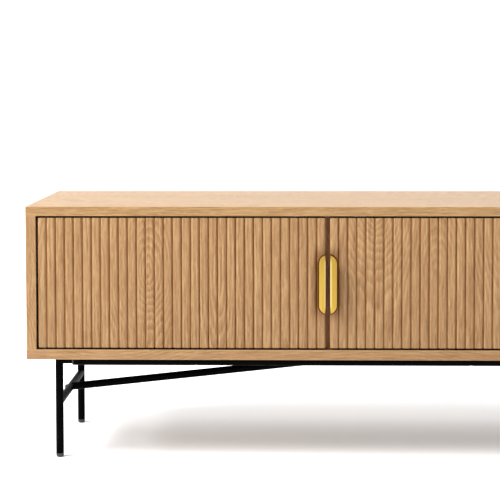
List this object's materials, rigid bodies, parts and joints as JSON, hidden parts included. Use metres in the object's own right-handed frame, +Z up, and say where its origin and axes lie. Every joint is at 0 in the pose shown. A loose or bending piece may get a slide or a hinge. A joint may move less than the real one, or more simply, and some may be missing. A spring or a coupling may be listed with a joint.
{
  "type": "media cabinet",
  "caption": "Long, low oak media cabinet with reeded doors on pivots, half-round brass edge pulls, and a slim braced base of black round tube.",
  "frame": {"origin": "on the floor, under the middle of the cabinet's bounding box", "axes": "+X along the cabinet to the right as seen from the front, +Y towards the back, +Z up; the doors face -Y"},
  "size_m": [1.8, 0.419, 0.521],
  "materials": {
    "oak": "satin lacquer, straight grain along each panel",
    "oak_inner": "satin lacquer",
    "oak_board": "satin lacquer",
    "oak_reeds": "satin lacquer, grain along the reeds",
    "beech": "raw",
    "brass": "satin, brushed along the height",
    "black_steel": "fine matte powder coat",
    "black_bolt_steel": "black oxide",
    "zinc_steel": "zinc plated",
    "zinc_alloy": "raw casting",
    "pivot_steel": "burnished dark",
    "magnet": "nickel plated",
    "black_plastic": "fine matte"
  },
  "bodies": {
    "cabinet": {"top_panel": "oak", "bottom_panel": "oak", "left_side_panel": "oak", "right_side_panel": "oak", "left_divider": "oak_inner", "right_divider": "oak_inner", "left_back_panel": "oak_inner", "middle_back_panel": "oak_inner", "right_back_panel": "oak_inner", "left_shelf": "oak_inner", "middle_shelf": "oak_inner", "right_shelf": "oak_inner", "shelf_pins": "zinc_steel", "cam_locks": "zinc_alloy", "cam_bolts": "zinc_steel", "dowels": "beech", "back_screws": "zinc_steel", "cable_grommets": "black_plastic", "pivot_bushes": "black_plastic", "catch_housings": "black_plastic", "catch_magnets": "magnet", "catch_screws": "zinc_steel", "left_front_leg": "black_steel", "left_rear_leg": "black_steel", "right_front_leg": "black_steel", "right_rear_leg": "black_steel", "foot_glides": "black_plastic", "left_stretcher": "black_steel", "right_stretcher": "black_steel", "left_top_bar": "black_steel", "right_top_bar": "black_steel", "front_rail": "black_steel", "rear_rail": "black_steel", "rail_spigots": "black_steel", "rail_bushings": "black_plastic", "rail_set_screws": "black_bolt_steel", "left_brace": "black_steel", "right_brace": "black_steel", "brace_plugs": "zinc_steel", "brace_bolts": "black_bolt_steel", "centre_bracket": "black_steel", "frame_screws": "zinc_steel"},
    "left_door": {"left_door_board": "oak_board", "left_door_facing": "oak_reeds", "left_handle": "brass", "left_handle_screws": "zinc_steel", "left_door_pivots": "pivot_steel", "left_strike_plate": "pivot_steel"},
    "middle_door": {"middle_door_board": "oak_board", "middle_door_facing": "oak_reeds", "middle_handle": "brass", "middle_handle_screws": "zinc_steel", "middle_door_pivots": "pivot_steel", "middle_strike_plate": "pivot_steel"},
    "right_door": {"right_door_board": "oak_board", "right_door_facing": "oak_reeds", "right_handle": "brass", "right_handle_screws": "zinc_steel", "right_door_pivots": "pivot_steel", "right_strike_plate": "pivot_steel"}
  },
  "joints": [
    {"name": "left_door_swing", "type": "hinge", "parent": "cabinet", "child": "left_door", "pos_m": [-0.8658, -0.1785, 0.367], "axis": [0, 0, -1], "range_deg": [0, 95]},
    {"name": "middle_door_swing", "type": "hinge", "parent": "cabinet", "child": "middle_door", "pos_m": [0.27877, -0.1785, 0.367], "axis": [0, 0, 1], "range_deg": [0, 95]},
    {"name": "right_door_swing", "type": "hinge", "parent": "cabinet", "child": "right_door", "pos_m": [0.8658, -0.1785, 0.367], "axis": [0, 0, 1], "range_deg": [0, 95]}
  ]
}
